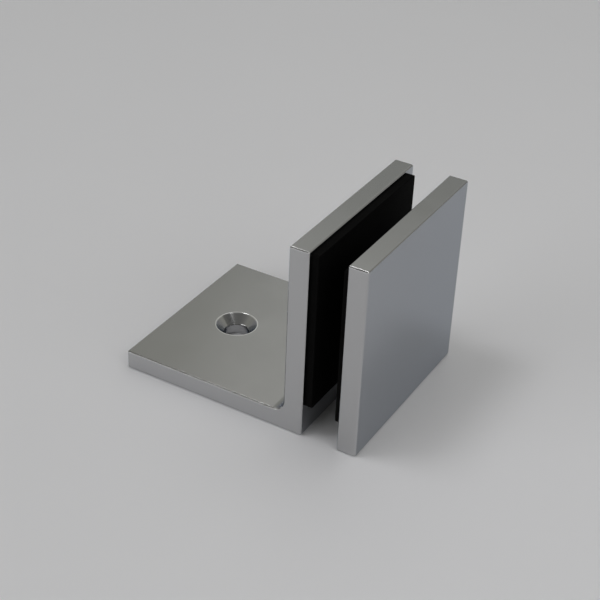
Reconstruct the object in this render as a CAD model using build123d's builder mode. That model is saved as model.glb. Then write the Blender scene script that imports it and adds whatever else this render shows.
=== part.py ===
from build123d import *
import os

# Glass to wall bracket: an L-shaped bracket and a loose cover plate, which clamp a glass panel
# between two rubber pads. A countersunk screw through the upright draws the cover plate in.
# All lengths are in millimetres. The origin is on the wall face, in the axis of the wall hole.
# +Z leads away from the wall, +X from the wall hole to the glass, and Y along both legs.

# Bracket
leg_length = 50.0
leg_height = 50.0
bracket_width = 50.0
leg_thickness = 5.0
inner_corner_radius = 3.0
edge_chamfer = 0.3

# Countersunk hole for the wall screw
wall_hole_diameter = 6.0
wall_hole_countersink = 10.5
wall_hole_from_end = 16.0
countersink_angle = 90.0
rim_radius = 0.5

# Cover plate, drawn with the gap between the metal faces that it has without glass
metal_gap = 9.5
cover_thickness = 5.0
boss_diameter = 11.0
boss_root_radius = 0.3
skin_over_thread = 1.8
closing_travel = 1.2

# Rubber pads, cut with one die and laid on by hand, each a little off its place along Y and Z
pad_thickness = 2.0
pad_side_margin = 2.0
pad_wall_margin = 7.0
pad_top_margin = 2.0
pad_corner_radius = 0.6
pad_edge_radius = 0.2
pad_hole_clearance = 2.0
bracket_pad_shift = (-1.0, 1.1)
cover_pad_shift = (0.3, -1.1)

# Clamp screw, with a hexagon socket in its countersunk head
screw_diameter = 6.0
screw_tip_chamfer = 0.8
head_diameter = 12.0
head_rim = 0.3
head_sink = 0.2
socket_width = 4.0
socket_depth = 2.3
socket_chamfer = 0.2

# Plastic sleeve round the boss, which keeps the metal off the edge of the hole in the glass
sleeve_wall = 1.5
sleeve_chamfer = 0.3

# Clearances
head_seat_gap = 0.14
screw_hole_clearance = 0.3
thread_clearance = 0.05
thread_end_gap = 0.3
thread_mouth_chamfer = 0.5
boss_end_gap = 0.8
sleeve_clearance = 0.06
sleeve_seat_gap = 0.2
sleeve_cover_gap = 0.5

# Places that follow from the sizes above
free_end = -wall_hole_from_end
outer_face = free_end + leg_length
inner_face = outer_face - leg_thickness
cover_inner_face = outer_face + metal_gap
cover_outer_face = cover_inner_face + cover_thickness
closed_gap = metal_gap - closing_travel

pad_width = bracket_width - 2 * pad_side_margin
pad_height = leg_height - pad_wall_margin - pad_top_margin
clamp_height = pad_wall_margin + pad_height / 2
clamp_axis = Axis((0, 0, clamp_height), (1, 0, 0))

boss_radius = boss_diameter / 2
boss_length = closed_gap - boss_end_gap
sleeve_start = outer_face + sleeve_seat_gap
sleeve_length = closed_gap - sleeve_seat_gap - sleeve_cover_gap
sleeve_inner_radius = boss_radius + sleeve_clearance
sleeve_outer_radius = sleeve_inner_radius + sleeve_wall
pad_hole_radius = sleeve_outer_radius + pad_hole_clearance

screw_radius = screw_diameter / 2
head_radius = head_diameter / 2
head_top = inner_face + head_sink
cone_start = head_top + head_rim
head_seat_radius = head_radius + head_sink + head_rim + head_seat_gap
screw_hole_radius = screw_radius + screw_hole_clearance
thread_radius = screw_radius + thread_clearance
thread_end = cover_outer_face - skin_over_thread
screw_tip = thread_end - thread_end_gap - closing_travel


def facing(x, direction=1, y=0.0, z=clamp_height):
    """A plane at x that faces along +X or -X, on the clamp axis unless y and z say otherwise."""
    return Plane(origin=(x, y, z), x_dir=(0, direction, 0), z_dir=(direction, 0, 0))


# The bracket is one piece: an L-shaped profile, as deep as the bracket is wide, with a round in
# its inner corner and every outer edge broken.
with BuildPart() as l_bracket:
    with BuildSketch(Plane.XZ):
        with BuildLine():
            Polyline(
                (free_end, 0),
                (outer_face, 0),
                (outer_face, leg_height),
                (inner_face, leg_height),
                (inner_face, leg_thickness),
                (free_end, leg_thickness),
                close=True,
            )
        make_face()
        inner_corner = vertices().sort_by_distance((inner_face, leg_thickness))[0]
        fillet(inner_corner, radius=inner_corner_radius)
    extrude(amount=bracket_width / 2, both=True)

    side_outlines = faces().filter_by(Axis.Y).edges()
    round_ends = edges().filter_by(Axis.Y).sort_by_distance((inner_face, 0, leg_thickness))[:2]
    long_edges = edges().filter_by(Axis.Y) - round_ends
    chamfer(side_outlines + long_edges, length=edge_chamfer)

    with Locations((0, 0, leg_thickness)):
        CounterSinkHole(
            radius=wall_hole_diameter / 2,
            counter_sink_radius=wall_hole_countersink / 2,
            depth=leg_thickness,
            counter_sink_angle=countersink_angle,
        )
    wall_hole_rim = edges().filter_by(GeomType.CIRCLE).sort_by_distance((0, 0, leg_thickness))[0]
    fillet(wall_hole_rim, radius=rim_radius)

    with Locations(facing(inner_face, -1)):
        CounterSinkHole(
            radius=screw_hole_radius,
            counter_sink_radius=head_seat_radius,
            depth=leg_thickness,
            counter_sink_angle=countersink_angle,
        )

# The cover plate is a square plate with a round boss, tapped from the end of the boss to a blind
# end inside the plate, so that its outer face stays clean.
with BuildPart() as cover_plate:
    with BuildSketch(facing(cover_inner_face, z=leg_height / 2)):
        Rectangle(bracket_width, leg_height)
    extrude(amount=cover_thickness)
    chamfer(edges(), length=edge_chamfer)

    with BuildSketch(facing(cover_inner_face, -1)):
        Circle(boss_radius)
    extrude(amount=boss_length)
    boss_circles = edges().filter_by(GeomType.CIRCLE).sort_by(Axis.X)
    fillet(boss_circles[-1], radius=boss_root_radius)

    with BuildSketch(facing(thread_end, -1)):
        Circle(thread_radius)
    extrude(amount=thread_end - cover_inner_face + boss_length, mode=Mode.SUBTRACT)
    boss_mouth = edges().filter_by(GeomType.CIRCLE).group_by(Axis.X)[0].sort_by(SortBy.RADIUS)[0]
    chamfer(boss_mouth, length=thread_mouth_chamfer)


def rubber_pad(glued_x, free_side, shift):
    """A pad glued on at glued_x, with its free face towards +X or -X and softened edges there."""
    along_y, along_z = shift
    with BuildPart() as piece:
        with BuildSketch(facing(glued_x, free_side, along_y, clamp_height + along_z)):
            RectangleRounded(pad_width, pad_height, pad_corner_radius)
            Circle(pad_hole_radius, mode=Mode.SUBTRACT)
        extrude(amount=pad_thickness)
        free_face = faces().sort_by(Axis.X)[-1 if free_side > 0 else 0]
        fillet(free_face.edges(), radius=pad_edge_radius)
    return piece


bracket_pad = rubber_pad(outer_face, 1, bracket_pad_shift)
cover_pad = rubber_pad(cover_inner_face, -1, cover_pad_shift)

# The screw is turned: head, cone, shank and tip in one profile, then the socket is cut in.
with BuildPart() as clamp_screw:
    with BuildSketch(Plane.XZ):
        with BuildLine():
            Polyline(
                (head_top, clamp_height),
                (head_top, clamp_height + head_radius),
                (cone_start, clamp_height + head_radius),
                (cone_start + head_radius - screw_radius, clamp_height + screw_radius),
                (screw_tip - screw_tip_chamfer, clamp_height + screw_radius),
                (screw_tip, clamp_height + screw_radius - screw_tip_chamfer),
                (screw_tip, clamp_height),
                close=True,
            )
        make_face()
    revolve(axis=clamp_axis)

    with BuildSketch(facing(head_top, -1)):
        RegularPolygon(radius=socket_width / 2, side_count=6, major_radius=False)
    extrude(amount=-socket_depth, mode=Mode.SUBTRACT)
    socket_rim = edges().group_by(Axis.X)[0].filter_by(GeomType.LINE)
    chamfer(socket_rim, length=socket_chamfer)

# The sleeve is a plain ring that turns with the boss, next to the upright.
with BuildPart() as sleeve:
    with BuildSketch(facing(sleeve_start)):
        Circle(sleeve_outer_radius)
        Circle(sleeve_inner_radius, mode=Mode.SUBTRACT)
    extrude(amount=sleeve_length)
    chamfer(edges().filter_by(GeomType.CIRCLE), length=sleeve_chamfer)

pieces = {
    "l_bracket": l_bracket,
    "bracket_pad": bracket_pad,
    "cover_plate": cover_plate,
    "cover_pad": cover_pad,
    "clamp_screw": clamp_screw,
    "sleeve": sleeve,
}
os.makedirs("parts", exist_ok=True)
for name, piece in pieces.items():
    piece.part.label = name
    export_step(piece.part, f"parts/{name}.step")
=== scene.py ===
import math

import bpy
from mathutils import Matrix, Vector


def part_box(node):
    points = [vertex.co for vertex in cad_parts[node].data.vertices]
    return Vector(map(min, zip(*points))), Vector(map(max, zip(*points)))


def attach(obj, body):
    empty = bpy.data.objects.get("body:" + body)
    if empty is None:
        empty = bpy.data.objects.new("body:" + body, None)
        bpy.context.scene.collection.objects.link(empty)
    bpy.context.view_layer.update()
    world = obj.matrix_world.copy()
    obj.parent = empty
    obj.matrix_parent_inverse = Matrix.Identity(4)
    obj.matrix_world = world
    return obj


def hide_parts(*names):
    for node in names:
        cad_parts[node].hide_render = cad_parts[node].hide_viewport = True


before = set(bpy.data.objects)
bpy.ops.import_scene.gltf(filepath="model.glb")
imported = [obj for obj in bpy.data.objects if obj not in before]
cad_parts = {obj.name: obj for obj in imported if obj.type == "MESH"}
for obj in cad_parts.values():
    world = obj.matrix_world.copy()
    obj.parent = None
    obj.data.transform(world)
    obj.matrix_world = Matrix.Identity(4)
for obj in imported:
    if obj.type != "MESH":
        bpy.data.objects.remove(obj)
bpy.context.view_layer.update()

# The camera stands where the photo's did. Its frame is 600 pixels wide and high. Angles are in
# degrees and lengths in metres, unless a name says otherwise.
IMAGE_SIZE = 600
FOCAL_LENGTH_PX = 1374.9
SENSOR_WIDTH_MM = 36.0
CAMERA_AZIMUTH = 29.24
CAMERA_ELEVATION = 32.88
CAMERA_ROLL = 2.52
CAMERA_DISTANCE = 0.3334
CAMERA_AIM = (0.01948, -0.00221, 0.02042)
NEAREST_SEEN = 0.01
FARTHEST_SEEN = 20.0

# The studio's floor
FLOOR_RADIUS = 6.0
FLOOR_POINTS = 96

# The studio's walls, from the horizon to the zenith: the sine of the elevation, the brightness, and
# the yellowness, which is the share of blue that is missing.
STUDIO_WALLS = [
    (0.0, 0.25, 0.0),
    (0.22, 0.26, 0.0),
    (0.4, 0.33, 0.08),
    (0.6, 0.37, 0.1),
    (0.76, 0.26, 0.05),
    (1.0, 0.2, 0.0),
]

# The walls are darker in front of the part. Their strength rises to 1 while the Y of the direction
# towards them goes from the first of these values to the second.
FRONT_WALL_STRENGTH = 0.5
FRONT_WALL_Y = -0.9
FULL_WALL_Y = 0.1

# The softboxes, which face the part: azimuth, elevation, distance, degrees wide and high as seen
# from the part, and radiance.
SOFTBOXES = {
    "key": (296, 68, 2.5, 15, 15, 7.6),
    "window": (328, 21, 2.5, 44, 24, 2.2),
    "right": (76, 40, 0.6, 34, 28, 1.36),
    "overhead_back": (155, 68, 0.8, 34, 26, 0.75),
    "back": (183, 49.5, 2.5, 50, 31, 0.17),
}

# Edges are softened by a rounded normal. The cosine between it and the face's own normal tells an
# edge from a plain face.
BEVEL_SAMPLES = 8
EDGE_COSINE = 0.93
FACE_COSINE = 0.999

# The rounded rim of the wall hole's countersink, round the upright axis through the origin
# Its colour is made lighter: a polished ring with a painted highlight on it.
RIM_RADIUS = 0.00528
RIM_HEIGHT = 0.00492
RIM_WIDTH = 0.0003

# The chrome's edges get this share of the rim's lightness, as wear and a painted highlight. Its tint
# shows at a slant.
EDGE_SHARE = 0.22
SLANT_TINT = (0.73, 0.79, 0.875, 1.0)

# The rings that the lathe left on the screw
LATHE_RINGS_A_METRE = 9000.0

# The clamp screw, turned about an axis along X. It is the solid's shape with the thread cut in: an
# M6 profile with flat crests and roots, whose flank starts and ends at these shares of the pitch.
HEAD_RADIUS = 0.006
HEAD_RIM = 0.0003
SCREW_RADIUS = 0.003
TIP_CHAMFER = 0.0008
SOCKET_WIDTH = 0.004
SOCKET_DEPTH = 0.0023
SOCKET_CHAMFER = 0.0002
THREAD_PITCH = 0.001
THREAD_DEPTH = 0.00054
FLANK_START = 0.0625
FLANK_END = 0.375
RINGS_A_TURN = 12
RING_POINTS = 72
SHARP_ANGLE = 35

# The clamp screw's place is its solid's.
screw_low, screw_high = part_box("clamp_screw")
SCREW_TOP = screw_low[0]
SCREW_TIP = screw_high[0]
SCREW_HEIGHT = (screw_low[2] + screw_high[2]) / 2


def direction(azimuth, elevation):
    """The unit vector from the part towards a place. Azimuth 0 is in front of it, at -Y."""
    turn = math.radians(azimuth)
    rise = math.radians(elevation)
    return Vector((math.sin(turn) * math.cos(rise), -math.cos(turn) * math.cos(rise), math.sin(rise)))


def add_to_scene(name, data):
    made = bpy.data.objects.new(name, data)
    bpy.context.scene.collection.objects.link(made)
    return made


def add_camera():
    data = bpy.data.cameras.new("camera")
    data.sensor_width = SENSOR_WIDTH_MM
    data.lens = SENSOR_WIDTH_MM * FOCAL_LENGTH_PX / IMAGE_SIZE
    data.clip_start = NEAREST_SEEN
    data.clip_end = FARTHEST_SEEN
    camera = add_to_scene("camera", data)
    back = direction(CAMERA_AZIMUTH, CAMERA_ELEVATION)
    upright = (-back).to_track_quat("-Z", "Y").to_matrix()
    roll = Matrix.Rotation(math.radians(CAMERA_ROLL), 3, "Z")
    place = Matrix.Translation(Vector(CAMERA_AIM) + back * CAMERA_DISTANCE)
    camera.matrix_world = place @ (upright @ roll).to_4x4()
    bpy.context.scene.camera = camera


def add_softbox(name, azimuth, elevation, distance, wide, high, radiance):
    """A softbox that faces the part, so many degrees wide and high as seen from there."""
    width = 2 * distance * math.tan(math.radians(wide / 2))
    height = 2 * distance * math.tan(math.radians(high / 2))
    data = bpy.data.lights.new(name, "AREA")
    data.shape = "RECTANGLE"
    data.size = width
    data.size_y = height
    data.energy = radiance * math.pi * width * height
    box = add_to_scene(name, data)
    towards = direction(azimuth, elevation)
    box.location = towards * distance
    box.rotation_mode = "QUATERNION"
    box.rotation_quaternion = (-towards).to_track_quat("-Z", "Y")
    box.visible_camera = False


def add_node(tree, kind, inputs, **settings):
    """A shader node. Each of its inputs is given a value, or the output that feeds it."""
    made = tree.nodes.new(kind)
    for name, value in settings.items():
        setattr(made, name, value)
    for name, value in inputs.items():
        if isinstance(value, bpy.types.NodeSocket):
            tree.links.new(value, made.inputs[name])
        else:
            made.inputs[name].default_value = value
    return made


def calculate(tree, operation, first, second):
    return add_node(tree, "ShaderNodeMath", {0: first, 1: second}, operation=operation).outputs["Value"]


def vector_length(tree, vector):
    return add_node(tree, "ShaderNodeVectorMath", {0: vector}, operation="LENGTH").outputs["Value"]


def axis_distance(tree, place, centre, across):
    """The distance from an axis through centre. Across has a 1 for each direction across the axis."""
    offset = add_node(tree, "ShaderNodeVectorMath", {0: place, 1: centre}, operation="SUBTRACT")
    flat_inputs = {0: offset.outputs["Vector"], 1: across}
    flat = add_node(tree, "ShaderNodeVectorMath", flat_inputs, operation="MULTIPLY")
    return vector_length(tree, flat.outputs["Vector"])


def noise(tree, place, size, detail):
    """Noise from 0 to 1, with a grain of this size."""
    inputs = {"Vector": place, "Scale": 1 / size, "Detail": detail}
    return add_node(tree, "ShaderNodeTexNoise", inputs).outputs["Fac"]


def spread(tree, value, low, high, start=0.0, end=1.0):
    """The value from start to end, spread out from low to high, and beyond them kept at the nearer."""
    inputs = {"Value": value, "From Min": start, "From Max": end, "To Min": low, "To Max": high}
    return add_node(tree, "ShaderNodeMapRange", inputs).outputs["Result"]


def spread_noise(tree, value, low, high):
    """Noise spread out from low to high. It seldom goes below 0.3 or above 0.7."""
    return spread(tree, value, low, high, start=0.3, end=0.7)


def mix_colours(tree, share, colour_at_0, colour_at_1):
    """The colour between two, by a share from 0 to 1."""
    mixer = add_node(tree, "ShaderNodeMix", {"Factor": share}, data_type="RGBA")
    sockets = [socket for socket in mixer.inputs if socket.type == "RGBA"]
    for socket, colour in zip(sockets, (colour_at_0, colour_at_1)):
        socket.default_value = colour
    return next(socket for socket in mixer.outputs if socket.type == "RGBA")


def grey(level, coolness=0.0):
    """A grey, made a little blue by taking a share of its red and green away."""
    return (level * (1 - coolness), level * (1 - coolness), level, 1.0)


def rounded_normal(tree, radius):
    return add_node(tree, "ShaderNodeBevel", {"Radius": radius}, samples=BEVEL_SAMPLES).outputs["Normal"]


def edge_mask(tree, normal):
    """From 0 on a flat face to 1 on an edge, by how far the rounded normal leans off the face's."""
    face = tree.nodes.new("ShaderNodeNewGeometry").outputs["True Normal"]
    lean = add_node(tree, "ShaderNodeVectorMath", {0: normal, 1: face}, operation="DOT_PRODUCT")
    return spread(tree, lean.outputs["Value"], low=1.0, high=0.0, start=EDGE_COSINE, end=FACE_COSINE)


def bump(tree, height, depth, normal):
    """The normal of a surface that is raised by up to this depth where the height goes from 0 to 1."""
    inputs = {"Height": height, "Distance": depth, "Strength": 1.0, "Normal": normal}
    return add_node(tree, "ShaderNodeBump", inputs).outputs["Normal"]


def add_world():
    """The studio's walls, coloured by the sine of the elevation and darker in front, towards -Y."""
    world = bpy.data.worlds.new("studio")
    world.use_nodes = True
    tree = world.node_tree
    background = tree.nodes["Background"]
    coordinates = tree.nodes.new("ShaderNodeTexCoord")
    split = add_node(tree, "ShaderNodeSeparateXYZ", {"Vector": coordinates.outputs["Generated"]})
    ramp = add_node(tree, "ShaderNodeValToRGB", {"Fac": split.outputs["Z"]})
    ramp.color_ramp.interpolation = "EASE"
    stops = ramp.color_ramp.elements
    # New stops go between the two that are there, and then all of them get their places.
    while len(stops) < len(STUDIO_WALLS):
        stops.new(0.5)
    for stop, (height, level, yellowness) in zip(stops, STUDIO_WALLS):
        stop.position = height
        stop.color = (level, level, level * (1 - yellowness), 1.0)
    strength = spread(
        tree, split.outputs["Y"], low=FRONT_WALL_STRENGTH, high=1.0, start=FRONT_WALL_Y, end=FULL_WALL_Y
    )
    tree.links.new(ramp.outputs["Color"], background.inputs["Color"])
    tree.links.new(strength, background.inputs["Strength"])
    bpy.context.scene.world = world


def new_material(name):
    """A material, its node tree, its Principled shader, and the place on the piece in metres."""
    material = bpy.data.materials.new(name)
    material.use_nodes = True
    tree = material.node_tree
    place = tree.nodes.new("ShaderNodeTexCoord").outputs["Object"]
    return material, tree, tree.nodes["Principled BSDF"], place


def hole_rim(tree, place):
    """From 1 on the rim of the wall hole to 0 away from it."""
    from_axis = axis_distance(tree, place, centre=(0.0, 0.0, 0.0), across=(1.0, 1.0, 0.0))
    height = add_node(tree, "ShaderNodeSeparateXYZ", {"Vector": place}).outputs["Z"]
    outward = calculate(tree, "SUBTRACT", from_axis, RIM_RADIUS)
    upward = calculate(tree, "SUBTRACT", height, RIM_HEIGHT)
    offset = add_node(tree, "ShaderNodeCombineXYZ", {"X": outward, "Y": upward}).outputs["Vector"]
    distance = vector_length(tree, offset)
    return spread(tree, distance, low=1.0, high=0.0, start=RIM_WIDTH / 2, end=RIM_WIDTH)


def satin_chrome(name):
    """Plated satin metal: a little uneven, lighter on its edges from wear and a painted highlight,
    lighter on the wall hole's rim, a polished ring with a painted highlight, and darker and bluer at a
    slant.
    """
    material, tree, shader, place = new_material(name)
    soft = rounded_normal(tree, radius=0.0001)
    on_edge = edge_mask(tree, soft)
    waves = bump(tree, noise(tree, place, size=0.012, detail=1.0), depth=0.000006, normal=soft)
    grain = bump(tree, noise(tree, place, size=0.0003, detail=3.0), depth=0.0000006, normal=waves)
    clouds = spread_noise(tree, noise(tree, place, size=0.009, detail=3.0), low=0.13, high=0.2)
    rim = hole_rim(tree, place)
    polished = spread(tree, calculate(tree, "MAXIMUM", on_edge, rim), low=0.0, high=-0.06)
    roughness = calculate(tree, "ADD", clouds, polished)
    # Painted highlight: the rim, and at a share the edges, are made lighter, on top of the rim's polish
    # and the edges' wear.
    painted_highlight_and_wear = calculate(tree, "MAXIMUM", calculate(tree, "MULTIPLY", on_edge, EDGE_SHARE), rim)
    colour = mix_colours(tree, painted_highlight_and_wear, grey(0.492, coolness=0.01), grey(0.82, coolness=0.01))
    tree.links.new(colour, shader.inputs["Base Color"])
    tree.links.new(roughness, shader.inputs["Roughness"])
    tree.links.new(grain, shader.inputs["Normal"])
    shader.inputs["Metallic"].default_value = 1.0
    shader.inputs["Specular Tint"].default_value = SLANT_TINT
    return material


def pad_rubber(name):
    """Black sheet rubber: a fine grain, and a little dust on it."""
    material, tree, shader, place = new_material(name)
    soft = rounded_normal(tree, radius=0.0002)
    grain = noise(tree, place, size=0.00025, detail=4.0)
    dust = noise(tree, place, size=0.004, detail=5.0)
    tree.links.new(mix_colours(tree, dust, grey(0.0015), grey(0.004)), shader.inputs["Base Color"])
    tree.links.new(spread_noise(tree, grain, low=0.62, high=0.85), shader.inputs["Roughness"])
    tree.links.new(bump(tree, grain, depth=0.00002, normal=soft), shader.inputs["Normal"])
    shader.inputs["Specular IOR Level"].default_value = 0.04
    return material


def turned_steel(name):
    """Steel as the lathe left it, with fine rings round the axis."""
    material, tree, shader, place = new_material(name)
    soft = rounded_normal(tree, radius=0.00015)
    on_edge = edge_mask(tree, soft)
    radius = axis_distance(tree, place, centre=(0.0, 0.0, SCREW_HEIGHT), across=(0.0, 1.0, 1.0))
    rings_inputs = {"W": radius, "Scale": LATHE_RINGS_A_METRE, "Detail": 2.0}
    rings = add_node(tree, "ShaderNodeTexNoise", rings_inputs, noise_dimensions="1D").outputs["Fac"]
    turned = bump(tree, rings, depth=0.000003, normal=soft)
    tree.links.new(mix_colours(tree, on_edge, grey(0.4), grey(0.55)), shader.inputs["Base Color"])
    tree.links.new(spread_noise(tree, rings, low=0.2, high=0.36), shader.inputs["Roughness"])
    tree.links.new(turned, shader.inputs["Normal"])
    shader.inputs["Metallic"].default_value = 1.0
    return material


def sleeve_plastic(name):
    """Black moulded nylon, with the faint waves of its mould."""
    material, tree, shader, place = new_material(name)
    soft = rounded_normal(tree, radius=0.0002)
    waves = noise(tree, place, size=0.0015, detail=3.0)
    tree.links.new(mix_colours(tree, waves, grey(0.008), grey(0.014)), shader.inputs["Base Color"])
    tree.links.new(spread_noise(tree, waves, low=0.42, high=0.58), shader.inputs["Roughness"])
    tree.links.new(bump(tree, waves, depth=0.00002, normal=soft), shader.inputs["Normal"])
    shader.inputs["Specular IOR Level"].default_value = 0.35
    return material


def add_floor():
    bpy.ops.mesh.primitive_circle_add(
        vertices=FLOOR_POINTS, radius=FLOOR_RADIUS, fill_type="NGON", location=(0, 0, 0)
    )
    floor = bpy.context.object
    floor.name = "floor"
    material, tree, shader, place = new_material("floor")
    clouds = noise(tree, place, size=0.06, detail=2.0)
    colour = mix_colours(tree, clouds, grey(0.8, coolness=0.03), grey(0.82, coolness=0.03))
    tree.links.new(colour, shader.inputs["Base Color"])
    shader.inputs["Roughness"].default_value = 0.45
    floor.data.materials.append(material)


def ring(x, radius_at):
    """Points round the screw's axis at x. The radius follows from the angle."""
    points = []
    for step in range(RING_POINTS):
        angle = 2 * math.pi * step / RING_POINTS
        radius = radius_at(angle)
        points.append((x, radius * math.cos(angle), SCREW_HEIGHT + radius * math.sin(angle)))
    return points


def circle(radius):
    return lambda angle: radius


def hexagon(width):
    """A hexagon of this width across its flats, with a corner at angle 0."""
    return lambda angle: width / 2 / math.cos(angle % (math.pi / 3) - math.pi / 6)


def threaded(x, start):
    """The shank at x. The thread runs in over its first turn, and the tip's chamfer cuts it off."""
    run_in = min((x - start) / THREAD_PITCH, 1.0)
    chamfer_radius = SCREW_RADIUS - TIP_CHAMFER + SCREW_TIP - x

    def radius_at(angle):
        turns = (x - start) / THREAD_PITCH - angle / (2 * math.pi)
        from_crest = abs(turns - round(turns))
        flank = (from_crest - FLANK_START) / (FLANK_END - FLANK_START)
        cut = THREAD_DEPTH * run_in * min(max(flank, 0.0), 1.0)
        return min(SCREW_RADIUS - cut, chamfer_radius)

    return radius_at


def screw_rings():
    """The screw's rings of points, from its socket's floor over the head and thread to the tip."""
    cone_start = SCREW_TOP + HEAD_RIM
    shank_start = cone_start + HEAD_RADIUS - SCREW_RADIUS
    rings = [
        ring(SCREW_TOP + SOCKET_DEPTH, hexagon(SOCKET_WIDTH)),
        ring(SCREW_TOP + SOCKET_CHAMFER, hexagon(SOCKET_WIDTH)),
        ring(SCREW_TOP, hexagon(SOCKET_WIDTH + 2 * SOCKET_CHAMFER)),
        ring(SCREW_TOP, circle(HEAD_RADIUS)),
        ring(cone_start, circle(HEAD_RADIUS)),
    ]
    shank_length = SCREW_TIP - shank_start
    shank_steps = round(shank_length / THREAD_PITCH * RINGS_A_TURN)
    for step in range(shank_steps + 1):
        x = shank_start + shank_length * step / shank_steps
        rings.append(ring(x, threaded(x, shank_start)))
    return rings


def closed_surface(rings):
    """The rings' points and a middle point for each end, and the faces that join them all."""
    first_x = rings[0][0][0]
    last_x = rings[-1][0][0]
    points = [(first_x, 0.0, SCREW_HEIGHT)]
    for ring_points in rings:
        points.extend(ring_points)
    points.append((last_x, 0.0, SCREW_HEIGHT))

    last_point = len(points) - 1
    last_ring = last_point - RING_POINTS
    faces = []
    for step in range(RING_POINTS):
        following = (step + 1) % RING_POINTS
        faces.append((0, 1 + following, 1 + step))
        for this_ring in range(1, last_ring, RING_POINTS):
            next_ring = this_ring + RING_POINTS
            this_side = (this_ring + step, this_ring + following)
            next_side = (next_ring + following, next_ring + step)
            faces.append(this_side + next_side)
        faces.append((last_ring + step, last_ring + following, last_point))
    return points, faces


def add_clamp_screw(material):
    """The clamp screw as one closed mesh, with its thread."""
    points, faces = closed_surface(screw_rings())
    mesh = bpy.data.meshes.new("clamp_screw_threaded")
    mesh.from_pydata(points, [], faces)
    mesh.shade_smooth()
    mesh.set_sharp_from_angle(angle=math.radians(SHARP_ANGLE))
    mesh.materials.append(material)
    screw = add_to_scene("clamp_screw_threaded", mesh)
    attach(screw, "screw")
    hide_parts("clamp_screw")


def set_material(node, material):
    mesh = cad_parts[node].data
    mesh.materials.clear()
    mesh.materials.append(material)


bpy.context.scene.view_settings.view_transform = "Standard"
add_camera()
add_world()
for box_name, box_values in SOFTBOXES.items():
    add_softbox(box_name, *box_values)
add_floor()

chrome = satin_chrome("satin_chrome")
rubber = pad_rubber("pad_rubber")
for node in ("l_bracket", "cover_plate"):
    set_material(node, chrome)
for node in ("bracket_pad", "cover_pad"):
    set_material(node, rubber)
set_material("sleeve", sleeve_plastic("sleeve_plastic"))
add_clamp_screw(turned_steel("screw_steel"))
